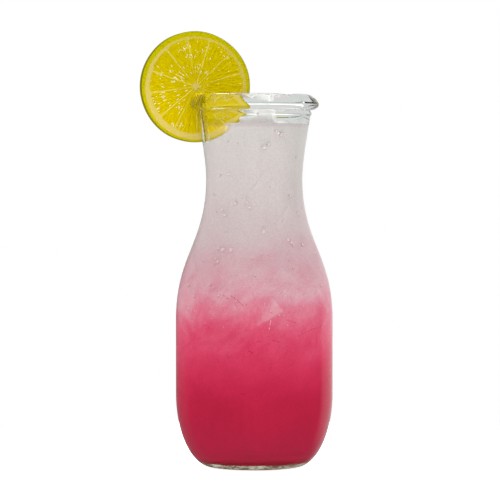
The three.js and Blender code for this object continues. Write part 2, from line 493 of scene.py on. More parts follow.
def new_group(name, source, number):
    """A Geometry Nodes tree with its named inputs, and those inputs' sockets."""
    tree = bpy.data.node_groups.new(name, "GeometryNodeTree")
    for label, kind in ((source, "Geometry"), (number, "Int"), ("Material", "Material")):
        tree.interface.new_socket(label, in_out="INPUT", socket_type="NodeSocket" + kind)
    tree.interface.new_socket("Piece", in_out="OUTPUT", socket_type="NodeSocketGeometry")
    start = add(tree, "NodeGroupInput")
    return tree, start.outputs[source], start.outputs[number], start.outputs["Material"]


def close_group(tree, geometry, material):
    real = add(tree, "GeometryNodeRealizeInstances", {0: geometry})
    painted = add(tree, "GeometryNodeSetMaterial", {
        "Geometry": real.outputs[0], "Material": material})
    end = add(tree, "NodeGroupOutput")
    tree.links.new(painted.outputs[0], end.inputs[0])
    return tree


def turned_tree():
    """Geometry Nodes that turn an outline, drawn in the XZ plane, about Z."""
    tree, outline, sides, material = new_group("Turned body", "Outline", "Sides")
    count = add(tree, "GeometryNodeAttributeDomainSize", {"Geometry": outline},
                component="MESH").outputs["Point Count"]
    grid = add(tree, "GeometryNodeMeshGrid", {
        "Vertices X": maths(tree, "ADD", sides, 1.0), "Vertices Y": count})
    index = add(tree, "GeometryNodeInputIndex").outputs[0]
    column = maths(tree, "FLOOR", maths(tree, "DIVIDE", maths(tree, "ADD", index, 0.5), count))
    row = maths(tree, "SUBTRACT", index, maths(tree, "MULTIPLY", column, count))
    place = add(tree, "GeometryNodeInputPosition").outputs[0]
    sample = add(tree, "GeometryNodeSampleIndex", data_type="FLOAT_VECTOR", domain="POINT")
    tree.links.new(outline, sample.inputs["Geometry"])
    value_socket = next(s for s in sample.inputs if s.name == "Value" and s.enabled)
    tree.links.new(place, value_socket)
    tree.links.new(row, sample.inputs["Index"])
    angle = maths(tree, "MULTIPLY", maths(tree, "DIVIDE", column, sides), math.tau)
    turned = add(tree, "ShaderNodeVectorRotate", {
        "Vector": out(sample, "Value"), "Angle": angle}, rotation_type="Z_AXIS")
    placed = add(tree, "GeometryNodeSetPosition", {
        "Geometry": grid.outputs["Mesh"], "Position": turned.outputs[0]})
    merged = add(tree, "GeometryNodeMergeByDistance", {
        "Geometry": placed.outputs[0], "Distance": 1e-6})
    return close_group(tree, merged.outputs[0], material)


def set_input(modifier, name, value):
    """Sets a Geometry Nodes input by its socket's identifier."""
    for item in modifier.node_group.interface.items_tree:
        if item.item_type == "SOCKET" and item.in_out == "INPUT" and item.name == name:
            modifier[item.identifier] = value
            return
    raise KeyError(name)


def turned_body(name, outline, sides, material=None):
    """A closed body turned from an outline that starts and ends on the axis."""
    vertices = [(radius, 0.0, height) for radius, height in outline]
    edges = [(i, i + 1) for i in range(len(vertices) - 1)]
    source = new_object(name + "_outline", mesh_from(name, vertices, [], edges))
    tree = bpy.data.node_groups.get("Turned body") or turned_tree()
    modifier = source.modifiers.new("turned", "NODES")
    modifier.node_group = tree
    set_input(modifier, "Sides", sides)
    set_input(modifier, "Material", material)
    made = applied(source, name)
    face_outwards(made.data)
    shade_smooth(made)
    return made


# Carafe

# Lower than real glass, set by comparing renders
GLASS_IOR = 1.26
# The knurled ring at the foot: its top, how far it reaches to each side of the heel's face,
# and the heights between which it fades out
FOOT_RING_TOP = 3.2 * MM
FOOT_RING_SKIN = 0.06 * MM
FOOT_RING_FADE = (2.5 * MM, 3.1 * MM)


def glass_material():
    """Clear pressed glass with a faint green tint and a soft ripple from the mould."""
    material, tree = new_material("pressed glass")
    ripple = noise_value(tree, object_point(tree, (1.0, 1.0, 0.45)), 55.0, 1.0, 0.4)
    surface = coat(tree, (0.965, 0.985, 0.97, 1.0), 0.0, more={
        "IOR": GLASS_IOR, "Transmission Weight": 1.0,
        "Normal": bump(tree, ripple, 0.12, 0.6 * MM)})
    finish_material(tree, lets_lamps_through(tree, surface))
    return material


def carafe_outline(sizes, grown=0.0):
    """The whole section of the glass; grown moves it outwards for cutting other pieces."""
    crown = bezier(
        (sizes.crown_radius, sizes.crown_height),
        (sizes.crown_radius - sizes.crown_pull / 2, sizes.crown_height),
        (sizes.mouth_radius, sizes.mouth_height + sizes.crown_pull / 2),
        (sizes.mouth_radius, sizes.mouth_height), 6)
    inside = inner_outline(sizes, 0.0, sizes.mouth_height)
    outline = outer_outline(sizes) + crown[1:] + inside[::-1]
    if grown == 0.0:
        return outline
    moved = []
    for i, (radius, height) in enumerate(outline):
        before, after = outline[max(i - 1, 0)], outline[min(i + 1, len(outline) - 1)]
        along = Vector((after[0] - before[0], after[1] - before[1])).normalized()
        moved.append((0.0 if radius == 0.0 else radius + along.y * grown,
                      height - along.x * grown))
    return moved


def wall_core_outline(sizes, half=0.2 * MM, low=150 * MM, high=189 * MM, steps=40):
    """A thin sheet up the middle of the wall, as an outline that starts and ends on the axis."""
    middle = []
    for i in range(steps + 1):
        height = low + (high - low) * i / steps
        middle.append((inner_radius(sizes, 0.0, height) + sizes.wall / 2, height))
    return ([(0.0, low - 2 * MM), (middle[0][0] + half, low - 2 * MM)]
            + [(r + half, z) for r, z in middle]
            + [(r - half, z) for r, z in reversed(middle)]
            + [(middle[0][0] - half, low - 1 * MM), (0.0, low - 1 * MM)])


def stipple_material():
    """The knurled ring the carafe stands on: pale green glass with dark facets, painted light and
    shade for what the knurled glass refracts.
    """
    material, tree = new_material("knurled foot")
    point = object_point(tree, (1.0, 1.0, 2.6))
    facet = add(tree, "ShaderNodeTexVoronoi", {"Vector": point, "Scale": 620.0})
    broad = noise_value(tree, object_point(tree), 130.0, 3.0, 0.6)
    # Painted refraction: the dark brown facets and pale green patches stand for the drink and the
    # light seen through the knurled glass
    shade = ramp(tree, out(facet, "Distance"), [
        (0.0, (0.44, 0.47, 0.36)), (0.30, (0.25, 0.27, 0.17)), (0.55, (0.11, 0.07, 0.04))],
        "LINEAR")
    shade = mix(tree, smooth_step(tree, broad, 0.46, 0.70), shade, (0.42, 0.47, 0.37))
    height = split(tree, object_point(tree))[2]
    fade = maths(tree, "MULTIPLY_ADD", smooth_step(tree, height, *FOOT_RING_FADE), 0.75, 0.25)
    finish_material(tree, clear_by(tree, fade, coat(tree, shade, 0.25, 0.2), (0.95, 0.97, 0.95)))
    return material


def foot_ring_outline(sizes, top, skin):
    """A thin skin over the lowest part of the heel, closed to a ring's section."""
    curve = [p for p in heel(sizes.foot_radius, sizes.body_radius, 0.0, sizes.heel_height, 96)
             if 0.02 * MM < p[1] < top]
    return ([(r + skin, z) for r, z in curve]
            + [(r - skin, z + skin) for r, z in reversed(curve)])


def ring_mesh(name, outline, sides):
    """A closed ring swept about Z from a closed section."""
    vertices, faces = [], []
    count = len(outline)
    for i in range(sides):
        turn = math.tau * i / sides
        vertices += [(r * math.cos(turn), r * math.sin(turn), z) for r, z in outline]
    for i in range(sides):
        here, there = i * count, (i + 1) % sides * count
        for j in range(count):
            k = (j + 1) % count
            faces.append((here + j, there + j, there + k, here + k))
    mesh = mesh_from(name, vertices, faces)
    face_outwards(mesh)
    return mesh


class LEMONADE_OT_carafe(bpy.types.Operator):
    """Blows the clear glass carafe"""

    bl_idname = "lemonade.carafe"
    bl_label = "Glass carafe"

    def execute(self, context):
        sizes = context.scene.carafe_sizes
        glass = turned_body("carafe_glass", carafe_outline(sizes), sizes.sides)
        dress(glass, glass_material(), "carafe", slot="glass")
        foot = new_object("foot_ring", ring_mesh(
            "foot_ring", foot_ring_outline(sizes, FOOT_RING_TOP, FOOT_RING_SKIN), sizes.sides))
        shade_smooth(foot)
        dress(foot, stipple_material())
        return {"FINISHED"}


# Beads: small glassy or juicy drops set on points

def beads_tree():
    """Geometry Nodes that put one rounded drop on each point, by its `size` and `lean`."""
    tree, points, detail, material = new_group("Beads", "Points", "Detail")
    drop = add(tree, "GeometryNodeMeshIcoSphere", {"Radius": 1.0, "Subdivisions": detail})
    size = add(tree, "GeometryNodeInputNamedAttribute", {"Name": "size"},
               data_type="FLOAT_VECTOR")
    lean = add(tree, "GeometryNodeInputNamedAttribute", {"Name": "lean"},
               data_type="FLOAT_VECTOR")
    turn = add(tree, "FunctionNodeEulerToRotation", {0: out(lean, "Attribute")})
    placed = add(tree, "GeometryNodeInstanceOnPoints", {
        "Points": points, "Instance": drop.outputs["Mesh"],
        "Rotation": turn.outputs[0], "Scale": out(size, "Attribute")})
    return close_group(tree, placed.outputs[0], material)


def beads(name, drops, material, detail=3):
    """One piece of many drops; a drop is (place, three half sizes, Euler turn)."""
    mesh = mesh_from(name, [place for place, _, _ in drops], [])
    for label, index in (("size", 1), ("lean", 2)):
        mesh.attributes.new(label, "FLOAT_VECTOR", "POINT")
        mesh.attributes[label].data.foreach_set(
            "vector", [value for drop in drops for value in drop[index]])
    source = new_object(name + "_points", mesh)
    tree = bpy.data.node_groups.get("Beads") or beads_tree()
    modifier = source.modifiers.new("beads", "NODES")
    modifier.node_group = tree
    set_input(modifier, "Detail", detail)
    set_input(modifier, "Material", material)
    made = applied(source, name)
    shade_smooth(made)
    return made


# Ice

ICE_LUMPS = (
    ("ice_high", "ice_1", (17.0, 15.0, 20.0), (3.0, -11.4, 171.6), (8.0, -11.0, -10.0)),
    ("ice_low", "ice_2", (15.0, 15.0, 18.0), (12.2, 6.4, 167.4), (-6.0, 8.0, 30.0)),
)

# Lumps that lie against the glass under the surface: size, angle round from the front
# (to the right), height, how far in the centre lies from the skin, and tilt
SUNKEN_LUMPS = (
    (16.0, 10.0, 81.0, 8.3, (52.0, 18.0, 62.0)),
    (17.0, 26.0, 93.0, 9.6, (20.0, 35.0, 10.0)),
    (16.0, -32.0, 90.0, 9.2, (50.0, 20.0, -25.0)),
    (16.0, 62.0, 84.0, 9.0, (30.0, 50.0, 5.0)),
    (18.0, -70.0, 98.0, 10.0, (38.0, 12.0, 48.0)),
    (17.0, 118.0, 88.0, 9.6, (44.0, 8.0, 30.0)),
    (15.0, 165.0, 96.0, 8.7, (25.0, 40.0, 15.0)),
    (18.0, -128.0, 86.0, 10.2, (35.0, 30.0, 20.0)),
    (14.0, -20.0, 118.0, 8.0, (40.0, 25.0, 0.0)),
    (15.0, 40.0, 124.0, 8.5, (15.0, 45.0, 30.0)),
    (14.0, 95.0, 130.0, 7.8, (42.0, 10.0, 12.0)),
    (14.0, -150.0, 122.0, 8.0, (30.0, 38.0, 8.0)),
    (13.0, 12.0, 146.0, 7.4, (36.0, 22.0, 40.0)),
    (13.0, 140.0, 150.0, 7.4, (48.0, 5.0, 22.0)),
)
# How plainly the first of them and the others show through the drink
CLEAREST_LUMP = 1.7
OTHER_LUMPS = 0.8


def ice_mesh(name, size, centre, turn, margin=0.0, rounding=2.6, melt=0.35, seed=1.0, cuts=11):
    """A melted cube: a rounded box with soft hollows in its faces. Sizes are in millimetres."""
    body = bmesh.new()
    bmesh.ops.create_cube(body, size=2.0)
    bmesh.ops.subdivide_edges(body, edges=body.edges, cuts=cuts, use_grid_fill=True)
    half = Vector(size) / 2
    core = half - Vector((rounding,) * 3)
    place = Matrix.Translation(centre) @ Euler([math.radians(a) for a in turn]).to_matrix().to_4x4()
    for vertex in body.verts:
        point = Vector(c * h for c, h in zip(vertex.co, half))
        inner = Vector(max(-c, min(c, p)) for p, c in zip(point, core))
        away = point - inner
        if away.length > 1e-6:
            point = inner + away.normalized() * (rounding + margin)
        dent = noise.noise(point * 0.16 + Vector((seed * 7.3, 0, 0)))
        dent += 0.4 * noise.noise(point * 0.45 + Vector((0, seed * 3.1, 0)))
        point += point.normalized() * (dent * melt)
        vertex.co = (place @ point) * MM
    mesh = mesh_of(body, name)
    face_outwards(mesh)
    return mesh


def ice_material():
    """Wet ice, half clear and half clouded by the air in it, with painted shade on its upward
    faces.
    """
    material, tree = new_material("clouded ice")
    wave = noise_value(tree, object_point(tree), 240.0, 2.0, 0.5)
    shade = ramp(tree, wave, [(0.35, (0.80, 0.775, 0.765)), (0.65, (0.89, 0.87, 0.86))],
                 "LINEAR")
    crack = out(add(tree, "ShaderNodeTexVoronoi", {
        "Vector": slanted_point(tree, (1.0, 0.7, 1.2), (0.5, 0.4, 0.3)), "Scale": 130.0},
        feature="DISTANCE_TO_EDGE"), "Distance")
    # Painted shade: the upward faces are darker, against the strong light from above; the cracks on
    # them stay paler
    top = ramp(tree, wave, [(0.38, (0.33, 0.335, 0.33)), (0.62, (0.50, 0.505, 0.50))], "LINEAR")
    top = mix(tree, smooth_step(tree, crack, 0.05, 0.0), top, (0.66, 0.66, 0.66))
    shade = mix(tree, smooth_step(tree, facing_up(tree), 0.35, 0.85), shade, top)
    surface = coat(tree, shade, 0.16, 0.3, {
        "IOR": 1.31, "Transmission Weight": 0.12, "Normal": bump(tree, wave, 0.12, 0.5 * MM)})
    finish_material(tree, lets_lamps_through(tree, surface))
    return material


def sunken_material(look):
    """Ice seen through the last film of drink: the drink's own colour, paler."""
    material, tree = new_material("sunken ice")
    stand = add(tree, "ShaderNodeAttribute", attribute_name="stand").outputs["Fac"]
    frost = noise_value(tree, object_point(tree), 420.0, 3.0, 0.6)
    share = product(tree, smooth_step(tree, stand, 0.0, 3.2),
                    maths(tree, "MULTIPLY_ADD", frost, 0.30, 0.02))
    paler = mix(tree, share, drink_colour(tree, look), (0.80, 0.76, 0.78))
    finish_material(tree, coat(tree, paler, 0.35, 0.2))
    return material


class LEMONADE_OT_ice(bpy.types.Operator):
    """Floats two lumps of ice in the surface and rests the others against the glass"""

    bl_idname = "lemonade.ice"
    bl_label = "Ice"

    def execute(self, context):
        sizes, look = context.scene.carafe_sizes, context.scene.drink_look
        material = ice_material()
        for seed, (name, node, size, centre, turn) in enumerate(ICE_LUMPS, start=1):
            lump = new_object(name, ice_mesh(name, size, centre, turn, seed=seed))
            shade_smooth(lump)
            dress(lump, material, node, slot="ice")
        parts, stands = bmesh.new(), []
        first = 5
        for seed, (size, angle, height, depth, tilt) in enumerate(SUNKEN_LUMPS, start=first):
            turn = math.radians(angle)
            reach = inner_radius(sizes, 0.0, height * MM) / MM - depth
            centre = (reach * math.sin(turn), -reach * math.cos(turn), height)
            lump = ice_mesh("lump", (size,) * 3, centre, (tilt[0], tilt[1], tilt[2] + angle),
                            rounding=1.1, melt=0.7, seed=seed, cuts=23)
            clear = CLEAREST_LUMP if seed == first else OTHER_LUMPS
            stands += [stand * clear for stand in clamp_to_skin(lump, sizes, look)]
            parts.from_mesh(lump)
            bpy.data.meshes.remove(lump)
        mesh = mesh_of(parts, "sunken_ice")
        mesh.attributes.new("stand", "FLOAT", "POINT")
        mesh.attributes["stand"].data.foreach_set("value", stands)
        sunken = new_object("sunken_ice", mesh)
        shade_smooth(sunken)
        dress(sunken, sunken_material(look))
        return {"FINISHED"}


# How far the pressed ice reaches past the drink's skin, into the wall
PRESSED_IN = 0.10 * MM


def clamp_to_skin(mesh, sizes, look):
    """Presses what would stand out of the drink flat against the inside of the glass.

    Gives back how far each point would have stood out, in millimetres.
    """
    stands = []
    for vertex in mesh.vertices:
        radius = math.hypot(vertex.co.x, vertex.co.y)
        skin = inner_radius(sizes, 0.0, vertex.co.z) + look.reach + PRESSED_IN
        if radius > skin:
            vertex.co.x *= skin / radius
            vertex.co.y *= skin / radius
        stands.append(max(0.0, (radius - skin) / MM))
    return stands


# Lemonade

# The drink's clearer part round the wheel, left of this x and above this height
WINDOW_RIGHT = -9.5 * MM
WINDOW_LOW = 163.0 * MM
# The layers from the foot up, with the height of each in millimetres
LAYERS = (("deep", 10), ("raspberry", 37), ("rose", 58), ("hot_pink", 75), ("blush", 90),
          ("milk", 118), ("cloud", 158))
LAYERS_TOP = 180.0
# The paler underside fades out between these heights
UNDERSIDE = (4.2 * MM, 9.0 * MM)


def drink_colour(tree, look):
    """The layered colour by height, with cloudy, uneven boundaries and thin wisps."""
    point = object_point(tree)
    across, _, height = split(tree, point)
    millimetres = maths(tree, "MULTIPLY", height, 1000.0)
    broad = noise_value(tree, object_point(tree, (1.0, 1.0, 1.6)), 24.0, 2.0, 0.5, 0.6)
    fine = noise_value(tree, object_point(tree, (1.0, 1.0, 0.8), (0.3, 0.1, 0.7)), 95.0, 5.0, 0.65)
    slant = (0.0, math.radians(-38), 0.0)
    middle = noise_value(tree, slanted_point(tree, (1.5, 1.0, 0.7), slant, (0.06, 0.02, 0.01)),
                         52.0, 5.0, 0.62, 0.8)
    near = product(tree, smooth_step(tree, millimetres, 40.0, 76.0),
                   fade_out(tree, millimetres, 96.0, 130.0))
    # Three fields move the layers up and down, over more millimetres near the boundary
    shifted = millimetres
    for field, extra, everywhere in ((broad, 20.0, 16.0), (fine, 11.0, 5.0),
                                     (middle, 22.0, 10.0)):
        shift = product(tree, maths(tree, "SUBTRACT", field, 0.5),
                        maths(tree, "MULTIPLY_ADD", near, extra, everywhere))
        shifted = maths(tree, "ADD", shifted, shift)
    share = maths(tree, "DIVIDE", shifted, LAYERS_TOP)
    stops = [(height / LAYERS_TOP, getattr(look, name)) for name, height in LAYERS]
    layers = ramp(tree, share, stops, "B_SPLINE")
    # Thin curls, where a slow field passes its middle value
    curl = noise_value(tree, object_point(tree, (1.0, 1.0, 1.3), (0.9, 0.4, 0.2)), 42.0, 3.0,
                       0.55, 1.2)
    line = fade_out(tree, maths(tree, "ABSOLUTE", maths(tree, "SUBTRACT", curl, 0.5)),
                    0.002, 0.012)
    line = product(tree, line, smooth_step(tree, broad, 0.50, 0.62),
                   smooth_step(tree, fine, 0.50, 0.60), near, 0.26)
    layers = mix(tree, line, layers, look.raspberry)
    # Fine grain all over, and painted shade: a greyer right side in the neck
    pulp = noise_value(tree, point, 1100.0, 2.0, 0.7)
    layers = tinted(tree, layers, ramp(tree, pulp, [(0.4, 0.895), (0.6, 0.975)], "LINEAR"))
    painted_shade_side = product(tree, smooth_step(tree, across, 8.0 * MM, 25.0 * MM),
                    smooth_step(tree, height, 118.0 * MM, 145.0 * MM))
    layers = mix(tree, painted_shade_side, layers, tinted(tree, layers, (0.86, 0.875, 0.86)))
    # Painted shade: a darker band at the top of the drink, where the surface meets the glass
    meniscus_shade = product(tree, smooth_step(tree, height, look.level - 1.2 * MM,
                                    look.level - 0.2 * MM), 0.30)
    return mix(tree, meniscus_shade, layers, look.meniscus_shade)


def level_shade(tree, shade):
    """The drink's level surface is painted deeper than its sides, with pale foam in patches:
    painted shade against the strong light from above.

    Its underside, which gets little light, is painted paler: painted light.
    """
    # Painted light: the underside, which gets little light, is painted paler
    under = fade_out(tree, split(tree, object_point(tree))[2], *UNDERSIDE)
    shade = mix(tree, under, shade, tinted(tree, shade, (1.7, 1.7, 1.5)))
    # Painted shade: the level top is darkened against the strong light from above, less in patches
    # of pale foam
    foam = noise_value(tree, object_point(tree), 170.0, 4.0, 0.6)
    deeper = ramp(tree, foam, [(0.40, (0.47, 0.41, 0.42)), (0.62, (0.60, 0.55, 0.55))], "LINEAR")
    return mix(tree, smooth_step(tree, facing_up(tree), 0.75, 0.97), shade,
               tinted(tree, shade, deeper))


def lemonade_surface(tree, look):
    return coat(tree, level_shade(tree, drink_colour(tree, look)), 0.5, 0.0)


def drink_material(look):
    """Cloudy pink lemonade."""
    material, tree = new_material("cloudy lemonade")
    finish_material(tree, lemonade_surface(tree, look))
    return material


def thin_drink_material(look, wheel):
    """The drink in front of the wheel: clear by the glass, cloudy again towards the middle."""
    material, tree = new_material("thin lemonade")
    x, _, z = split(tree, object_point(tree))
    across = fade_out(tree, x, -15.5 * MM, WINDOW_RIGHT)
    # Clear only where the wheel lies straight behind
    side = maths(tree, "DIVIDE", maths(tree, "SUBTRACT", x, wheel.centre_x), math.cos(wheel.turn))
    rise = maths(tree, "SUBTRACT", z, wheel.centre_z)
    round_edge = fade_out(tree, diagonal(tree, side, rise), wheel.radius + 0.1 * MM,
                          wheel.radius + 0.9 * MM)
    swirl = noise_value(tree, object_point(tree), 160.0, 3.0, 0.6)
    clear = product(tree, across, round_edge,
                    maths(tree, "MULTIPLY_ADD", swirl, -0.22, 1.10, clamp=True))
    finish_material(tree, clear_by(tree, clear, lemonade_surface(tree, look),
                                   (0.99, 0.985, 0.98)))
    return material


def deep_material(look):
    """The cloudy drink behind the wheel."""
    material, tree = new_material("deep lemonade")
    cloud = noise_value(tree, object_point(tree), 70.0, 3.0, 0.5)
    shade = mix(tree, cloud, look.cloud, look.milk)
    finish_material(tree, coat(tree, shade, 0.6, 0.0))
    return material


def drink_outline(sizes, look, reach, top=None):
    """Up the inside, just in the wall, over the meniscus and in to the axis."""
    rise = look.meniscus
    crest = look.level + rise if top is None else top
    outline = inner_outline(sizes, -reach, crest)
    edge = inner_radius(sizes, -reach, crest)
    outline.append((edge, crest))
    if top is not None:
        return outline + [(0.0, crest)]
    steps = 8
    width = 2.6 * MM
    for i in range(1, steps + 1):
        share = i / steps
        outline.append((edge - 0.15 * MM - width * share,
                        look.level + rise * (1 - share) ** 2.4))
    rings = 14
    inner = outline[-1][0]
    for i in range(1, rings + 1):
        outline.append((inner * (1 - i / rings), look.level))
    return outline


def slab_mesh(name, corners_low, corners_high, place):
    """A plain box between two corners, put in place."""
    body = bmesh.new()
    bmesh.ops.create_cube(body, size=1.0)
    low, high = Vector(corners_low), Vector(corners_high)
    for vertex in body.verts:
        share = vertex.co + Vector((0.5, 0.5, 0.5))
        vertex.co = place @ Vector(a + (b - a) * t for a, b, t in zip(low, high, share))
    return mesh_of(body, name)


class LEMONADE_OT_drink(bpy.types.Operator):
    """Fills the carafe with layered pink lemonade"""

    bl_idname = "lemonade.drink"
    bl_label = "Pink lemonade"

    def execute(self, context):
        scene = context.scene
        sizes, look, wheel = scene.carafe_sizes, scene.drink_look, scene.wheel_look
        outline = drink_outline(sizes, look, look.reach)
        level = Matrix.Identity(4)
        corner = (-60 * MM, -60 * MM, WINDOW_LOW), (WINDOW_RIGHT, 60 * MM, 0.3)
        drink = cut(turned_body("drink", outline, sizes.sides),
                    new_object("knife", slab_mesh("knife", *corner, level)), "lemonade_body")
        for seed, (name, _, size, centre, turn) in enumerate(ICE_LUMPS, start=1):
            pocket = new_object(name + "_pocket", ice_mesh(name, size, centre, turn, -0.1,
                                                           seed=seed))
            drink = cut(drink, pocket, "lemonade_body")
        shade_smooth(drink, CREASE)
        dress(drink, drink_material(look), "lemonade", slot="lemonade")

        thin = cut(turned_body("drink", outline, sizes.sides),
                   new_object("knife", slab_mesh("knife", *corner, level)), "lemonade_by_wheel",
                   "INTERSECT")
        shade_smooth(thin, CREASE)
        dress(thin, thin_drink_material(look, wheel))

        # The drink seen behind the wheel: a sheet in the wheel's own plane, round its rind
        place = wheel_place(wheel)
        sheet = turned_body("sheet", drink_outline(sizes, look, -0.2 * MM,
                                                   look.level - 0.1 * MM), 96)
        beyond = 60 * MM
        for low, high in (((-beyond, 0.4 * MM, -0.2), (beyond, beyond, beyond)),
                          ((-beyond, -beyond, -0.2), (beyond, -0.4 * MM, beyond)),
                          ((-beyond, -beyond, -0.2), (beyond, beyond, -36 * MM))):
            sheet = cut(sheet, new_object("knife", slab_mesh("knife", low, high, place)), "sheet")
        disc = turned_body("disc", [(0.0, -4 * MM), (wheel.radius - 0.2 * MM, -4 * MM),
                                    (wheel.radius - 0.2 * MM, 4 * MM), (0.0, 4 * MM)], 128)
        for vertex in disc.data.vertices:
            vertex.co = place @ Vector((vertex.co.x, -vertex.co.z, vertex.co.y))
        sheet = cut(sheet, disc, "lemonade_depth")
        dress(sheet, deep_material(look))
        return {"FINISHED"}


# Bubbles: how far right of the axis in the photographed view, how high, and their radius,
# in millimetres
SEEN_BUBBLES = (
    (-8.1, 164.8, 0.55), (-12.9, 165.3, 0.5), (4.7, 162.5, 1.35), (7.0, 164.0, 0.95),
    (10.4, 170.6, 0.9), (12.9, 168.7, 1.15), (11.6, 169.7, 0.8), (8.0, 142.4, 0.7),
    (-9.3, 134.3, 1.15), (-3.7, 134.7, 1.0), (-2.2, 132.3, 0.8), (-4.7, 137.3, 0.5),
    (-18.5, 129.7, 0.5), (2.9, 129.2, 0.55), (4.4, 120.0, 1.15), (4.7, 122.8, 0.6),
    (16.2, 115.9, 1.05), (-24.1, 112.4, 0.8), (-15.4, 110.8, 1.15), (-11.4, 110.8, 1.15),
    (3.4, 108.8, 0.7), (6.5, 108.8, 0.5), (-1.2, 106.7, 0.55), (3.0, 106.2, 0.5),
    (0.4, 98.6, 0.8), (-24.6, 93.4, 0.6), (-21.6, 93.4, 0.8), (-20.0, 92.0, 0.5),
    (-17.5, 87.9, 0.8), (-15.9, 87.4, 0.5), (-9.2, 85.2, 0.5), (8.0, 80.5, 0.75),
    (14.1, 78.2, 0.6), (24.0, 89.0, 0.45), (-31.7, 93.0, 0.6), (-19.5, 103.6, 0.4),
)
# Drops on the dry glass over the surface, as for the bubbles
SEEN_DROPLETS = (
    (27.2, 181.6, 0.7), (1.8, 179.4, 0.6), (2.9, 181.2, 0.75), (5.5, 182.0, 0.6),
    (5.0, 175.4, 0.8), (17.0, 178.0, 0.45), (-3.0, 177.2, 0.4), (21.5, 176.6, 0.4),
)
# How many more lie round the sides and back, how many specks in front, and how many radians
# the front reaches to each side
SCATTERED_BUBBLES = 170
FRONT_SPECKS = 70
FRONT = 0.5


def bubble_material(look):
    """Air against the glass: the drink's colour, a little lighter, with a painted highlight on the
    crown and painted shade on the underside.
    """
    material, tree = new_material("bubbles")
    body = tinted(tree, drink_colour(tree, look), (1.1, 1.1, 1.1))
    # Painted shade underneath and a painted highlight on top, as the light falls from above
    lift = facing_up(tree)
    shade = mix(tree, smooth_step(tree, lift, -0.15, -0.75), body,
                tinted(tree, body, (0.92, 0.80, 0.83)))
    crown = product(tree, smooth_step(tree, lift, 0.15, 0.75), 0.65)
    shade = mix(tree, crown, shade, (0.97, 0.95, 0.95))
    finish_material(tree, coat(tree, shade, 0.10))
    return material


class LEMONADE_OT_bubbles(bpy.types.Operator):
    """Lets bubbles cling to the inside of the glass"""

    bl_idname = "lemonade.bubbles"
    bl_label = "Bubbles"

    def execute(self, context):
        sizes, look = context.scene.carafe_sizes, context.scene.drink_look
        chance = random.Random(23)
        drops = []

        def cling(angle, height, radius):
            skin = inner_radius(sizes, -look.reach, height * MM)
            reach = skin + radius * 0.25 * MM
            place = (reach * math.sin(angle), -reach * math.cos(angle), height * MM)
            drops.append((place, (radius * MM,) * 3, (0.0, 0.0, angle)))

        for across, height, radius in SEEN_BUBBLES:
            skin = inner_radius(sizes, 0.0, height * MM) / MM
            cling(math.asin(across / skin), height, radius)
        for _ in range(SCATTERED_BUBBLES):
            height = chance.triangular(84.0, 171.0, 104.0)
            cling(chance.uniform(FRONT, math.tau - FRONT), height,
                  chance.choice((0.18, 0.22, 0.3, 0.4, 0.6, 0.9)))
        for _ in range(FRONT_SPECKS):
            cling(chance.uniform(-FRONT, FRONT), chance.uniform(84.0, 170.0),
                  chance.uniform(0.12, 0.26))
        for across, height, radius in SEEN_DROPLETS:
            skin = inner_radius(sizes, 0.0, height * MM) / MM
            cling(math.asin(min(0.95, across / skin)), height, radius * 0.8)
        dress(beads("bubbles", drops, bubble_material(look)), None)
        return {"FINISHED"}


# Strands of pulp, seen as thin broken lines: start and end across and up, in millimetres
SEEN_STRANDS = (
    (21.2, 68.1, 33.2, 72.8), (30.6, 67.0, 30.0, 61.5), (30.2, 51.6, 32.6, 50.2),
    (32.2, 50.4, 35.0, 49.2), (-6.9, 40.1, -4.3, 39.6), (-18.5, 90.6, -12.6, 86.6),
    (-11.6, 88.4, -5.2, 83.4), (-14.0, 59.0, -12.2, 57.6), (-3.0, 61.2, -0.6, 59.8),
    (3.2, 52.6, 5.4, 51.4), (-20.2, 44.0, -18.6, 42.9), (24.0, 33.6, 25.0, 31.9),
    (15.5, 76.4, 20.6, 74.6), (29.0, 56.6, 28.4, 54.4), (-25.4, 74.0, -21.8, 72.2),
    (8.6, 66.4, 12.4, 65.2),
)
# Painted glints, white marks of light on ice and pulp: start and end as above
SEEN_SPARKLES = (
    (8.0, 80.0, 8.3, 80.3), (14.1, 78.2, 14.5, 78.1), (8.0, 76.2, 7.6, 73.6),
    (7.4, 72.8, 7.2, 71.8), (14.9, 91.2, 14.9, 90.0), (15.1, 88.8, 14.9, 88.0),
    (-16.2, 88.9, -15.4, 88.5), (-17.9, 90.0, -17.5, 89.6), (-9.0, 86.0, -8.5, 85.9),
    (-2.4, 98.6, -1.2, 99.8), (10.6, 79.4, 12.6, 78.6), (6.4, 78.6, 7.2, 79.4),
    (-29.6, 86.0, -29.2, 86.4), (26.0, 96.0, 26.5, 96.1), (32.6, 86.5, 32.9, 86.1),
)


def strand_material(look, name, tint, toward):
    """The drink's colour, tinted or paled."""
    material, tree = new_material(name)
    shade = mix(tree, toward, tinted(tree, drink_colour(tree, look), tint), (0.97, 0.93, 0.94))
    finish_material(tree, coat(tree, shade, 0.4, 0.1))
    return material


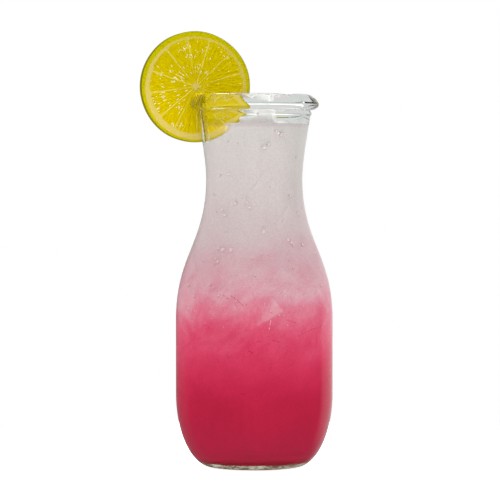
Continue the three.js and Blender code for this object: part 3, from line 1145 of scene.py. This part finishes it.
def strand_drops(sizes, look, seen, count, low, high, piece, width, seed):
    """Short slender drops along the seen lines, and others scattered all round."""
    chance = random.Random(seed)
    drops = []

    def lay(angle, height, half, slope, wide):
        skin = inner_radius(sizes, -look.reach, height * MM) + 0.03 * MM
        place = (skin * math.sin(angle), -skin * math.cos(angle), height * MM)
        drops.append((place, (half * MM, 0.07 * MM, wide * MM), (0.0, -slope, angle)))

    for x0, z0, x1, z1 in seen:
        span = math.hypot(x1 - x0, z1 - z0)
        parts = max(1, round(span / piece))
        slope = math.atan2(z1 - z0, x1 - x0)
        for i in range(parts):
            share = (i + 0.5) / parts
            across, height = x0 + (x1 - x0) * share, z0 + (z1 - z0) * share
            height += chance.uniform(-0.25, 0.25) * min(1.0, span / 4)
            skin = inner_radius(sizes, 0.0, height * MM) / MM
            lay(math.asin(across / skin), height, span / parts * chance.uniform(0.46, 0.66),
                slope + chance.uniform(-0.30, 0.30), width * chance.uniform(0.8, 1.3))
    for _ in range(count):
        height = chance.triangular(low, high, (low + high) / 2)
        lay(chance.uniform(-math.pi, math.pi), height, piece * chance.uniform(0.10, 0.42),
            chance.uniform(-1.2, 1.2), width * chance.uniform(0.5, 1.0))
    return drops


class LEMONADE_OT_pulp(bpy.types.Operator):
    """Lays strands of pulp and white sparkles, painted glints, against the inside of the glass"""

    bl_idname = "lemonade.pulp"
    bl_label = "Pulp and sparkles"

    def execute(self, context):
        sizes, look = context.scene.carafe_sizes, context.scene.drink_look
        dark = strand_material(look, "pulp", (0.82, 0.42, 0.52), 0.0)
        drops = strand_drops(sizes, look, SEEN_STRANDS, count=260, low=22.0, high=104.0,
                             piece=1.7, width=0.17, seed=57)
        dress(beads("pulp_strands", drops, dark, 2), None)
        # Painted glints: pale beads for the light that ice and pulp catch
        pale = strand_material(look, "sparkles", (1.0, 1.0, 1.0), 0.62)
        drops = strand_drops(sizes, look, SEEN_SPARKLES, count=110, low=66.0, high=118.0,
                             piece=1.1, width=0.11, seed=58)
        dress(beads("sparkles", drops, pale, 2), None)
        return {"FINISHED"}


# Citrus wheel

MEMBRANES = (17, 44, 73, 100, 129, 161, 188, 220, 244, 275, 306, 341)
# How plainly each membrane shows near the core and near the rind
MEMBRANE_SHOWS = ((0.2, 0.7), (0.5, 0.5), (0.9, 1.0), (0.1, 0.8), (0.1, 1.0), (0.8, 1.0),
                  (0.5, 1.0), (0.9, 0.9), (0.2, 0.5), (0.2, 0.5), (0.4, 0.7), (0.5, 0.9))
# The cut's direction, how far each side of it is pushed, and how far round the push reaches,
# in degrees
SLIT_ANGLE = 281.0
PUSHED_OPEN = 3.5
OPEN_SPAN = 90.0
# How many juice glints there are. None lies under this height in this band across, where the
# wall and the lip pass
GLINTS = 460
LIP_CLEAR = 190.5 * MM
WALL_BAND = (-35.5 * MM, -21.5 * MM)


def smooth(value, low, high):
    share = max(0.0, min(1.0, (value - low) / (high - low)))
    return share * share * (3 - 2 * share)


def segment_at(degrees):
    """Which segment an angle lies in, how far along it in degrees, and its span."""
    for i, start in enumerate(MEMBRANES):
        span = (MEMBRANES[(i + 1) % len(MEMBRANES)] - start) % 360
        along = (degrees - start) % 360
        if along < span:
            return i, along, span
    raise ValueError(degrees)


class WheelForm:
    """Where flesh, membranes, pith and rind lie on the face, and how high they stand."""

    def __init__(self, look):
        self.radius = look.radius / MM
        self.flesh = look.flesh_radius / MM
        self.pith = look.pith_radius / MM
        self.core = look.core_radius / MM

    def zones(self, radius, degrees, side):
        """(flesh, membrane, rind) shares at a point of the cut face; the rest is pith."""
        index, along, span = segment_at(degrees)
        turn = math.radians(degrees)
        ring = Vector((math.cos(turn), math.sin(turn), side * 0.7))
        wobble = noise.noise(ring * 3.0)
        small = noise.noise(ring * 11.0)
        share = along / span
        corner = abs(share - 0.5) * 2
        # The rind is thickest at the top, the pith at the bottom and on the left
        lift = math.sin(turn)
        inner = self.pith - 0.65 * lift + 0.25 * wobble + 0.1 * small
        edge = (self.flesh + 0.35 * lift - 0.3 * max(0.0, -math.cos(turn)) + 0.2 * wobble
                + 0.2 * small - 1.2 * corner ** 7)
        nearest = min(share, 1 - share)
        shows = MEMBRANE_SHOWS[index if share < 0.5 else (index + 1) % len(MEMBRANES)]
        across = nearest * math.radians(span) * radius
        bend = 0.12 * noise.noise(Vector((radius * 0.35, index + side, 0.4)))
        web = 0.16 + 0.10 * smooth(radius, 14.0, 22.0) + bend * 0.6
        plain = shows[0] + (shows[1] - shows[0]) * smooth(radius, 4.0, 17.0)
        plain *= 0.75 + 0.6 * noise.noise(Vector((radius * 0.5, index * 3.0, side)))
        membrane = max(0.0, min(1.0, plain)) * (1 - smooth(across, web, web + 0.24))
        flesh = 1 - smooth(radius, edge - 0.2, edge + 0.25)
        start = self.core + 1.3 * noise.noise(ring * 2.2) + 1.0 * noise.noise(ring * 6.0)
        flesh *= smooth(radius, start, start + 0.9)
        slit = abs((degrees - SLIT_ANGLE + 180) % 360 - 180) * math.pi / 180 * radius
        if radius > 4.0:
            membrane = max(membrane, 0.85 * (1 - smooth(slit, 0.35, 0.9)))
        rind = smooth(radius, inner - 0.2, inner + 0.3)
        if radius > self.core + 4.0:
            # The pith is stained by the zest except on the left and below
            flesh = max(flesh, 0.40 * smooth(math.cos(turn - 0.9) + 0.35 * small, -0.1, 0.8))
        return flesh, membrane * flesh, rind

    def sac(self, radius, degrees, side):
        """1 on the back of a juice sac, 0 in the creases; sacs run out from the core."""
        index, along, span = segment_at(degrees)
        local = math.radians(along) + index * 1.7
        bend = 0.5 * noise.noise(Vector((local * 6, radius * 0.15, side)))
        spot = Vector((local * 17.0 + bend, radius / 5.0 + 0.8 * noise.noise(
            Vector((local * 9, side, 0))), side * 3.7))
        return 1 - min(1.0, noise.voronoi(spot)[0][0] * 1.3)

    def height(self, radius, degrees, side):
        """How far the face stands above the flat of the cut, in millimetres."""
        flesh, membrane, rind = self.zones(radius, degrees, side)
        turn = math.radians(degrees)
        grain = noise.noise(Vector((math.cos(turn) * 40, math.sin(turn) * 40, radius * 1.1)))
        carved = smooth(radius, 2.0, 9.0)
        sunk = flesh * (-0.30 + 0.36 * carved * self.sac(radius, degrees, side) + 0.06 * grain)
        return sunk + membrane * 0.22 + 0.05 * grain * rind


def wheel_grid(look, rings=70, steps=440):
    """A closed wheel in its own XZ plane, its faces carved with sacs and membranes."""
    form = WheelForm(look)
    half = look.thickness / MM / 2
    edge_round = 0.9
    flat = form.radius - edge_round
    vertices, faces, loops = [], [], []
    turns = [math.tau * j / steps for j in range(steps)]
    # The fruit isn't quite round
    swell = [0.22 * noise.noise(Vector((math.cos(t) * 1.7, math.sin(t) * 1.7, 2.0)))
             - 0.12 for t in turns]

    def ring(radius, y, side):
        loops.append(len(vertices))
        share = radius / form.radius
        for turn, more in zip(turns, swell):
            rise = form.height(radius, math.degrees(turn), side) * side if side else 0.0
            wide = radius + more * share
            vertices.append((math.cos(turn) * wide, y + rise, math.sin(turn) * wide))

    vertices.append((0.0, -half, 0.0))
    for i in range(1, rings + 1):
        ring(flat * i / rings, -half, -1)
    arc = 5
    for i in range(1, arc + 1):
        turn = math.pi / 2 * i / arc
        ring(flat + edge_round * math.sin(turn), -half + edge_round * (1 - math.cos(turn)), 0)
    walls = 8
    for i in range(1, walls):
        ring(form.radius, -half + edge_round + 2 * (half - edge_round) * i / walls, 0)
    for i in range(0, arc):
        turn = math.pi / 2 * i / arc
        ring(flat + edge_round * math.cos(turn), half - edge_round * (1 - math.sin(turn)), 0)
    for i in range(rings, 0, -1):
        ring(flat * i / rings, half, 1)
    last = len(vertices)
    vertices.append((0.0, half, 0.0))
    for j in range(steps):
        k = (j + 1) % steps
        faces.append((0, loops[0] + j, loops[0] + k))
        for low, high in zip(loops, loops[1:]):
            faces.append((low + j, high + j, high + k, low + k))
        faces.append((last, loops[-1] + k, loops[-1] + j))
    mesh = mesh_from("citrus_wheel", vertices, faces)
    face_outwards(mesh)
    return mesh


def opened_angle(degrees):
    """Where a point at this angle of the uncut wheel goes when the cut is pushed open."""
    from_slit = (degrees - SLIT_ANGLE + 180) % 360 - 180
    nearness = max(0.0, 1 - abs(from_slit) / OPEN_SPAN)
    return degrees + (PUSHED_OPEN if from_slit > 0 else -PUSHED_OPEN) * nearness ** 2


def closed_angle(degrees):
    """The other way round, by a few steps of approach."""
    found = degrees
    for _ in range(12):
        found -= (opened_angle(found) - degrees + 180) % 360 - 180
    return found


def wheel_place(look):
    return (Matrix.Translation((look.centre_x, 0.0, look.centre_z))
            @ Matrix.Rotation(look.turn, 4, "Z"))


def blade_mesh():
    """A thin straight blade from just under the core out through the rind."""
    turn = Matrix.Rotation(-math.radians(SLIT_ANGLE), 4, "Y")
    return slab_mesh("blade", (4.0, -6.0, -0.2), (36.0, 6.0, 0.2), turn)


def paint_wheel(mesh, look):
    """Stores what each point of the wheel is made of, for the material."""
    form = WheelForm(look)
    back = wheel_place(look).inverted()
    half = look.thickness / 2
    kinds, streaks = [], []
    for vertex in mesh.vertices:
        point = back @ vertex.co
        radius = math.hypot(point.x, point.z) / MM
        degrees = closed_angle(math.degrees(math.atan2(point.z, point.x))) % 360
        side = -1 if point.y < 0 else 1
        flesh, membrane, rind = form.zones(radius, degrees, side)
        depth = half - abs(point.y)
        if radius > form.radius - 0.9 and depth > 0.35 * MM:
            rind = 2.0
        elif rind > 0:
            rind += 0.6 * smooth(radius, form.pith + 0.6, form.radius - 0.3)
        kinds += (flesh, membrane, rind)
        turn = math.radians(degrees)
        streaks += (math.cos(turn) * 9.0, math.sin(turn) * 9.0,
                    radius * 0.16 + 0.4 * form.sac(radius, degrees, side))
    for name, values in (("kind", kinds), ("streak", streaks)):
        mesh.attributes.new(name, "FLOAT_VECTOR", "POINT")
        mesh.attributes[name].data.foreach_set("vector", values)


def wheel_material(look):
    """Wet juice sacs, pale membranes and pith, yellow zest and an olive skin; painted light where
    glass and drink surround it, and painted shade on the upper half and the skin.
    """
    material, tree = new_material("citrus")
    kind = add(tree, "ShaderNodeAttribute", attribute_name="kind").outputs["Vector"]
    flesh, membrane, rind = split(tree, kind)
    run = add(tree, "ShaderNodeAttribute", attribute_name="streak").outputs["Vector"]
    streak = noise_value(tree, run, 3.4, 4.0, 0.62, 0.25)
    # The streaks follow the sacs, so the deep flesh is partly painted shade between them
    juicy = ramp(tree, streak, [(0.34, look.flesh_dark), (0.46, look.flesh), (0.56, look.flesh),
                                (0.68, look.flesh_light)], "LINEAR")
    mottle = noise_value(tree, object_point(tree), 900.0, 3.0, 0.6)
    pores = ramp(tree, out(add(tree, "ShaderNodeTexVoronoi", {
        "Vector": object_point(tree), "Scale": 950.0}), "Distance"),
        [(0.15, 0.72), (0.45, 1.0)], "LINEAR")
    white = mix(tree, mottle, tuple(c * 0.92 for c in look.pith),
                tuple(c * 1.08 for c in look.pith))
    shade = mix(tree, flesh, white, mix(tree, membrane, juicy, look.membrane))
    zest = mix(tree, mottle, tuple(c * 0.93 for c in look.rind), look.rind)
    zest = mix(tree, maths(tree, "SUBTRACT", rind, 1.0, clamp=True), zest, look.zest)
    shade = mix(tree, maths(tree, "MINIMUM", rind, 1.0), shade, tinted(tree, zest, pores))
    # Painted shade: the outer side is dark olive, partly the peel's own colour
    shade = mix(tree, smooth_step(tree, rind, 1.6, 2.0), shade, look.peel_and_shade)
    # Painted light: brighter where glass and drink surround it
    x, y, z = split(tree, object_point(tree))
    # The neck widens upwards by 0.16 mm for each millimetre
    past_wall = maths(tree, "SUBTRACT", diagonal(tree, x, y), product(tree, z, 0.1616))
    painted_light_in_glass = product(tree, fade_out(tree, past_wall, -1.3 * MM, -0.4 * MM),
                     fade_out(tree, z, 189.8 * MM, 190.6 * MM))
    shade = mix(tree, painted_light_in_glass, shade, tinted(tree, shade, (1.42, 1.42, 1.3)))
    # Painted light: brighter still under the drink's surface
    sunk = product(tree, painted_light_in_glass, fade_out(tree, z, DRINK_HIGH.z - 1.5 * MM, DRINK_HIGH.z))
    shade = mix(tree, sunk, shade, tinted(tree, shade, (1.36, 1.34, 1.3)))
    # Painted shade: the upper half is painted a little deeper and the lower half a little lighter,
    # as the light falls from above
    level = mix(tree, smooth_step(tree, z, 172.0 * MM, 212.0 * MM), (1.07, 1.03, 1.0),
                (0.93, 0.935, 0.9))
    finish_material(tree, coat(tree, tinted(tree, shade, level), 0.40, 0.0, {
        "Subsurface Weight": 0.10, "Subsurface Radius": (1.0, 0.7, 0.05),
        "Subsurface Scale": 1.4 * MM, "Normal": bump(tree, mottle, 0.10, 0.25 * MM)}))
    return material


def glint_material(look):
    """Painted glints: pale beads on the juice sacs that stand for the light their wet tips catch.
    """
    material, tree = new_material("juice glints")
    grain = noise_value(tree, object_point(tree), 700.0, 1.0, 0.5)
    shade = mix(tree, grain, tuple(c * 0.8 for c in look.glint), look.glint)
    finish_material(tree, coat(tree, shade, 0.12, more={"IOR": 1.36}))
    return material


def glint_drops(look):
    """Small radial drops on the flesh of both faces, in uneven clusters, as painted glints."""
    form = WheelForm(look)
    chance = random.Random(41)
    place = wheel_place(look)
    half = look.thickness / MM / 2
    drops = []
    while len(drops) < GLINTS:
        degrees, side = chance.uniform(0.0, 360.0), chance.choice((-1, 1))
        radius = form.flesh * math.sqrt(chance.uniform(0.03, 0.97))
        turn = math.radians(degrees)
        clump = noise.noise(Vector((math.cos(turn), math.sin(turn), side * 2.0)) * radius * 0.16)
        flesh, membrane, _ = form.zones(radius, degrees, side)
        if flesh < 0.9 or clump + 0.22 * chance.random() < 0.24:
            continue
        rise = form.height(radius, degrees, side)
        opened = math.radians(opened_angle(degrees))
        local = Vector((math.cos(opened) * radius, (half + rise) * side,
                        math.sin(opened) * radius))
        centre = place @ (local * MM)
        if centre.z < LIP_CLEAR and WALL_BAND[0] < centre.x < WALL_BAND[1]:
            continue
        left = max(0.0, -math.cos(turn))
        long = chance.uniform(0.2, 0.6 + 0.6 * left) * (1.0 if membrane < 0.3 else 0.6)
        wide = chance.uniform(0.06, 0.14)
        drops.append((tuple(centre), (long * MM, 0.07 * MM, wide * MM),
                      (0.0, -opened, look.turn)))
    return drops


class LEMONADE_OT_wheel(bpy.types.Operator):
    """Cuts the citrus wheel and pushes it over the lip"""

    bl_idname = "lemonade.wheel"
    bl_label = "Citrus wheel"

    def execute(self, context):
        sizes, look = context.scene.carafe_sizes, context.scene.wheel_look
        wheel = cut(new_object("citrus_wheel", wheel_grid(look)),
                    new_object("blade", blade_mesh()), "citrus_wheel")
        place = wheel_place(look)
        for vertex in wheel.data.vertices:
            point = vertex.co
            radius = math.hypot(point.x, point.z)
            turn = math.radians(opened_angle(math.degrees(math.atan2(point.z, point.x))))
            moved = Vector((math.cos(turn) * radius, point.y, math.sin(turn) * radius))
            vertex.co = place @ (moved * MM)
        slot = turned_body("slot", wall_core_outline(sizes), 160)
        wheel = cut(wheel, slot, "citrus_wheel")
        shade_smooth(wheel, CREASE)
        paint_wheel(wheel.data, look)
        dress(wheel, wheel_material(look), "lemon_slice", slot="lemon")
        dress(beads("juice_glints", glint_drops(look), glint_material(look), 2), None)
        return {"FINISHED"}


# Stage

def room_light(look):
    """A bright tent above and behind, dim behind the camera; the backdrop itself is white."""
    world = bpy.data.worlds.new("studio")
    bpy.context.scene.world = world
    world.use_nodes = True
    tree = world.node_tree
    tree.nodes.clear()
    path = add(tree, "ShaderNodeLightPath")
    direction = add(tree, "ShaderNodeTexCoord").outputs["Generated"]
    side, back, up = split(tree, direction)
    lit = mix(tree, smooth_step(tree, up, 0.0, 1.0), look.room, look.ceiling)
    # Two tall soft windows behind, the right one brighter, mirrored along the glass's edges
    window = product(tree, smooth_step(tree, back, 0.34, 0.60),
                     smooth_step(tree, up, -0.55, -0.15))
    bright = mix(tree, smooth_step(tree, side, -0.1, 0.1), (0.20, 0.20, 0.20), (0.74, 0.74, 0.74))
    dim = mix(tree, smooth_step(tree, back, 0.3, 0.6), (0.03, 0.03, 0.03), (0.14, 0.14, 0.14))
    mirrored = mix(tree, window, dim, bright)
    mirrored = mix(tree, smooth_step(tree, up, 0.25, 0.8), mirrored, (0.7, 0.7, 0.7))
    through = ramp(tree, maths(tree, "MULTIPLY_ADD", back, 0.5, 0.5),
                   [(0.0, 0.60), (0.5, 0.60), (0.85, 0.66), (1.0, 0.70)])
    seen = mix(tree, path.outputs["Is Glossy Ray"], lit, mirrored)
    inside = maths(tree, "GREATER_THAN", path.outputs["Transmission Depth"], 0.5)
    inside = maths(tree, "MULTIPLY", inside, path.outputs["Is Glossy Ray"])
    inside = maths(tree, "MAXIMUM", inside, path.outputs["Is Transmission Ray"])
    seen = mix(tree, inside, seen, through)
    seen = mix(tree, path.outputs["Is Camera Ray"], seen, look.backdrop)
    room = add(tree, "ShaderNodeBackground", {"Color": seen})
    output = add(tree, "ShaderNodeOutputWorld")
    tree.links.new(room.outputs[0], output.inputs["Surface"])


def floor_piece():
    """A round pale sheet just under the foot."""
    rings, steps, reach = 12, 96, 0.26
    vertices, faces = [(0.0, 0.0, -0.3 * MM)], []
    for i in range(1, rings + 1):
        radius = reach * i / rings
        for j in range(steps):
            turn = math.tau * j / steps
            vertices.append((math.cos(turn) * radius, math.sin(turn) * radius, -0.3 * MM))
    for j in range(steps):
        k = (j + 1) % steps
        faces.append((0, 1 + j, 1 + k))
        for i in range(rings - 1):
            low, high = 1 + i * steps, 1 + (i + 1) * steps
            faces.append((low + j, high + j, high + k, low + k))
    floor = new_object("floor", mesh_from("floor", vertices, faces))
    material, tree = new_material("pale floor")
    grain = noise_value(tree, object_point(tree), 8.0, 3.0, 0.5)
    shade = mix(tree, grain, (0.93, 0.93, 0.93), (0.95, 0.95, 0.95))
    finish_material(tree, coat(tree, shade, 0.7, 0.1, {
        "Emission Color": (1.0, 1.0, 1.0, 1.0), "Emission Strength": 0.7}))
    floor.data.materials.append(material)
    floor.visible_glossy = False
    return floor


class LEMONADE_OT_stage(bpy.types.Operator):
    """Sets the pale floor, the soft light and the camera"""

    bl_idname = "lemonade.stage"
    bl_label = "Stage and camera"

    def execute(self, context):
        look = context.scene.stage_look
        scene = context.scene
        scene.view_settings.view_transform = "Standard"
        room_light(look)
        floor_piece()
        lens = bpy.data.cameras.new("camera")
        lens.sensor_width = 36.0
        lens.lens = look.lens
        lens.clip_start = 0.05
        camera = bpy.data.objects.new("camera", lens)
        scene.collection.objects.link(camera)
        place = Vector((look.aim_x, -look.distance, look.camera_height))
        aim = Vector((look.aim_x, 0.0, look.aim_z))
        camera.location = place
        camera.rotation_euler = (aim - place).to_track_quat("-Z", "Y").to_euler()
        scene.camera = camera
        return {"FINISHED"}


STEPS = (LEMONADE_OT_stage, LEMONADE_OT_carafe, LEMONADE_OT_ice, LEMONADE_OT_drink,
         LEMONADE_OT_bubbles, LEMONADE_OT_pulp, LEMONADE_OT_wheel)


class LEMONADE_PT_panel(bpy.types.Panel):
    """Sidebar panel that lists the pieces."""

    bl_idname = "LEMONADE_PT_panel"
    bl_label = "Pink lemonade"
    bl_space_type = "VIEW_3D"
    bl_region_type = "UI"
    bl_category = "Lemonade"

    def draw(self, context):
        for step in STEPS:
            self.layout.operator(step.bl_idname)
        for group in ("carafe_sizes", "drink_look", "wheel_look", "stage_look"):
            box = self.layout.box()
            settings = getattr(context.scene, group)
            for name in settings.bl_rna.properties.keys():
                if name not in ("rna_type", "name"):
                    box.prop(settings, name)


GROUPS = {"carafe_sizes": CarafeSizes, "drink_look": DrinkLook, "wheel_look": WheelLook,
          "stage_look": StageLook}


def register():
    for group in GROUPS.values():
        bpy.utils.register_class(group)
    for name, group in GROUPS.items():
        setattr(bpy.types.Scene, name, PointerProperty(type=group))
    for kind in (*STEPS, LEMONADE_PT_panel):
        bpy.utils.register_class(kind)


def unregister():
    for kind in reversed((*STEPS, LEMONADE_PT_panel)):
        bpy.utils.unregister_class(kind)
    for name, group in GROUPS.items():
        delattr(bpy.types.Scene, name)
        bpy.utils.unregister_class(group)


def main():
    register()
    bpy.ops.lemonade.stage()
    bpy.ops.lemonade.carafe()
    bpy.ops.lemonade.ice()
    bpy.ops.lemonade.drink()
    bpy.ops.lemonade.bubbles()
    bpy.ops.lemonade.pulp()
    bpy.ops.lemonade.wheel()


if __name__ == "__main__":
    main()
